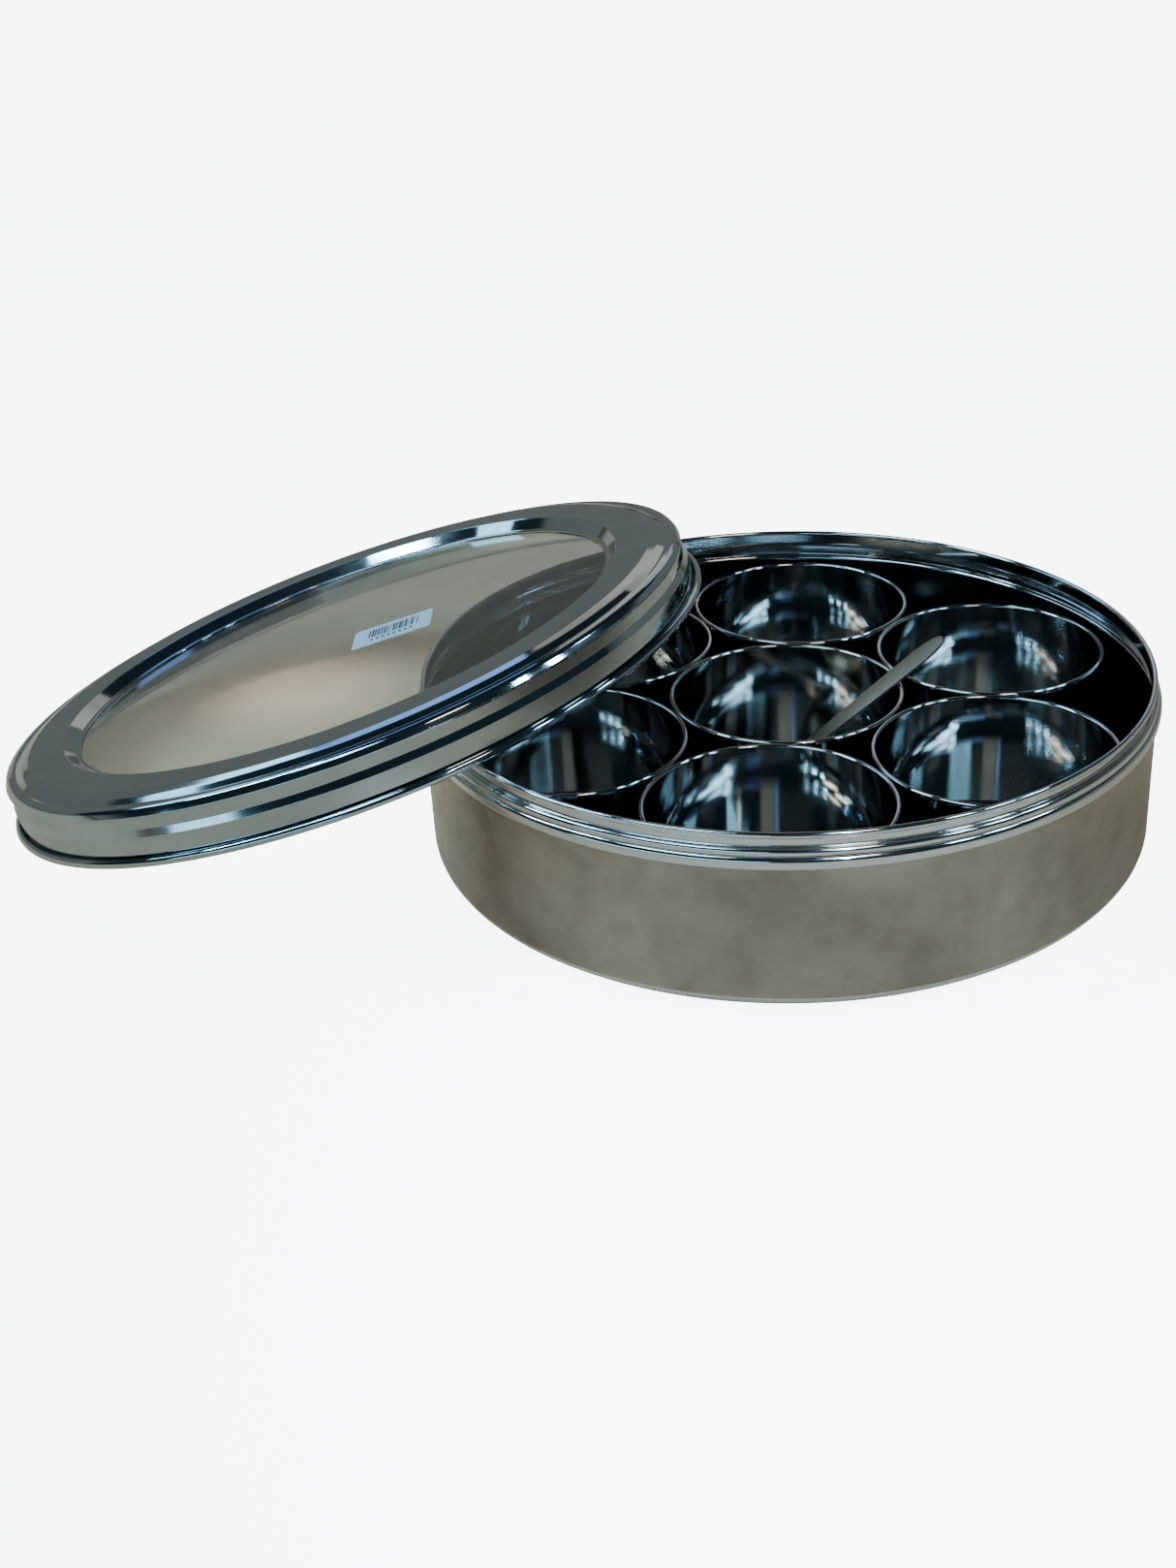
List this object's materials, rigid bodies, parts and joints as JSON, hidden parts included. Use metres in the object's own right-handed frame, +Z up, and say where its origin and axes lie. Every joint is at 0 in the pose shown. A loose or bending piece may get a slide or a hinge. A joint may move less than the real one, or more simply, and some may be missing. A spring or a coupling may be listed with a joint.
{
  "type": "spice box",
  "caption": "Round steel spice box with removable inner bowls, a small spoon and a loose lid with a clear window, which leans on the box's rim.",
  "frame": {"origin": "centre of the box's flat underside, on the table", "axes": "+Z up along the box's axis; the lid leans out towards -X, which makes X the longest way"},
  "size_m": [0.4411, 0.2802, 0.0979],
  "materials": {
    "box_steel": "satin wall, polished bead and rim",
    "bowl_steel": "mirror polished steel",
    "spoon_steel": "polished steel",
    "lid_steel": "polished steel, faintly satin on the flat crown",
    "window": "clear, slightly grey plastic",
    "label": "paper sticker"
  },
  "bodies": {
    "box": {"box_body": "box_steel"},
    "lid": {"lid_shell": "lid_steel", "lid_window": "window", "window_ring": "lid_steel", "price_label": "label"},
    "centre_bowl": {"bowl_centre": "bowl_steel"},
    "back_right_bowl": {"bowl_back_right": "bowl_steel"},
    "back_bowl": {"bowl_back": "bowl_steel"},
    "back_left_bowl": {"bowl_back_left": "bowl_steel"},
    "front_left_bowl": {"bowl_front_left": "bowl_steel"},
    "front_bowl": {"bowl_front": "bowl_steel"},
    "front_right_bowl": {"bowl_front_right": "bowl_steel"},
    "spoon": {"spoon": "spoon_steel"}
  },
  "joints": [
    {"name": "lid_lift", "type": "slide", "parent": "box", "child": "lid", "axis": [0, 0, 1], "range_m": [0, 0.15]},
    {"name": "centre_bowl_lift", "type": "slide", "parent": "box", "child": "centre_bowl", "axis": [0, 0, 1], "range_m": [0, 0.025]},
    {"name": "back_right_bowl_lift", "type": "slide", "parent": "box", "child": "back_right_bowl", "axis": [0, 0, 1], "range_m": [0, 0.08]},
    {"name": "back_bowl_lift", "type": "slide", "parent": "box", "child": "back_bowl", "axis": [0, 0, 1], "range_m": [0, 0.08]},
    {"name": "back_left_bowl_lift", "type": "slide", "parent": "box", "child": "back_left_bowl", "axis": [0, 0, 1], "range_m": [0, 0.016]},
    {"name": "front_left_bowl_lift", "type": "slide", "parent": "box", "child": "front_left_bowl", "axis": [0, 0, 1], "range_m": [0, 0.013]},
    {"name": "front_bowl_lift", "type": "slide", "parent": "box", "child": "front_bowl", "axis": [0, 0, 1], "range_m": [0, 0.08]},
    {"name": "front_right_bowl_lift", "type": "slide", "parent": "box", "child": "front_right_bowl", "axis": [0, 0, 1], "range_m": [0, 0.08]},
    {"name": "spoon_lift", "type": "slide", "parent": "centre_bowl", "child": "spoon", "axis": [0, 0, 1], "range_m": [0, 0.08]}
  ],
  "couplings": [
    {"joint": "spoon_lift", "follows": "back_right_bowl_lift", "ratio": 1}
  ]
}
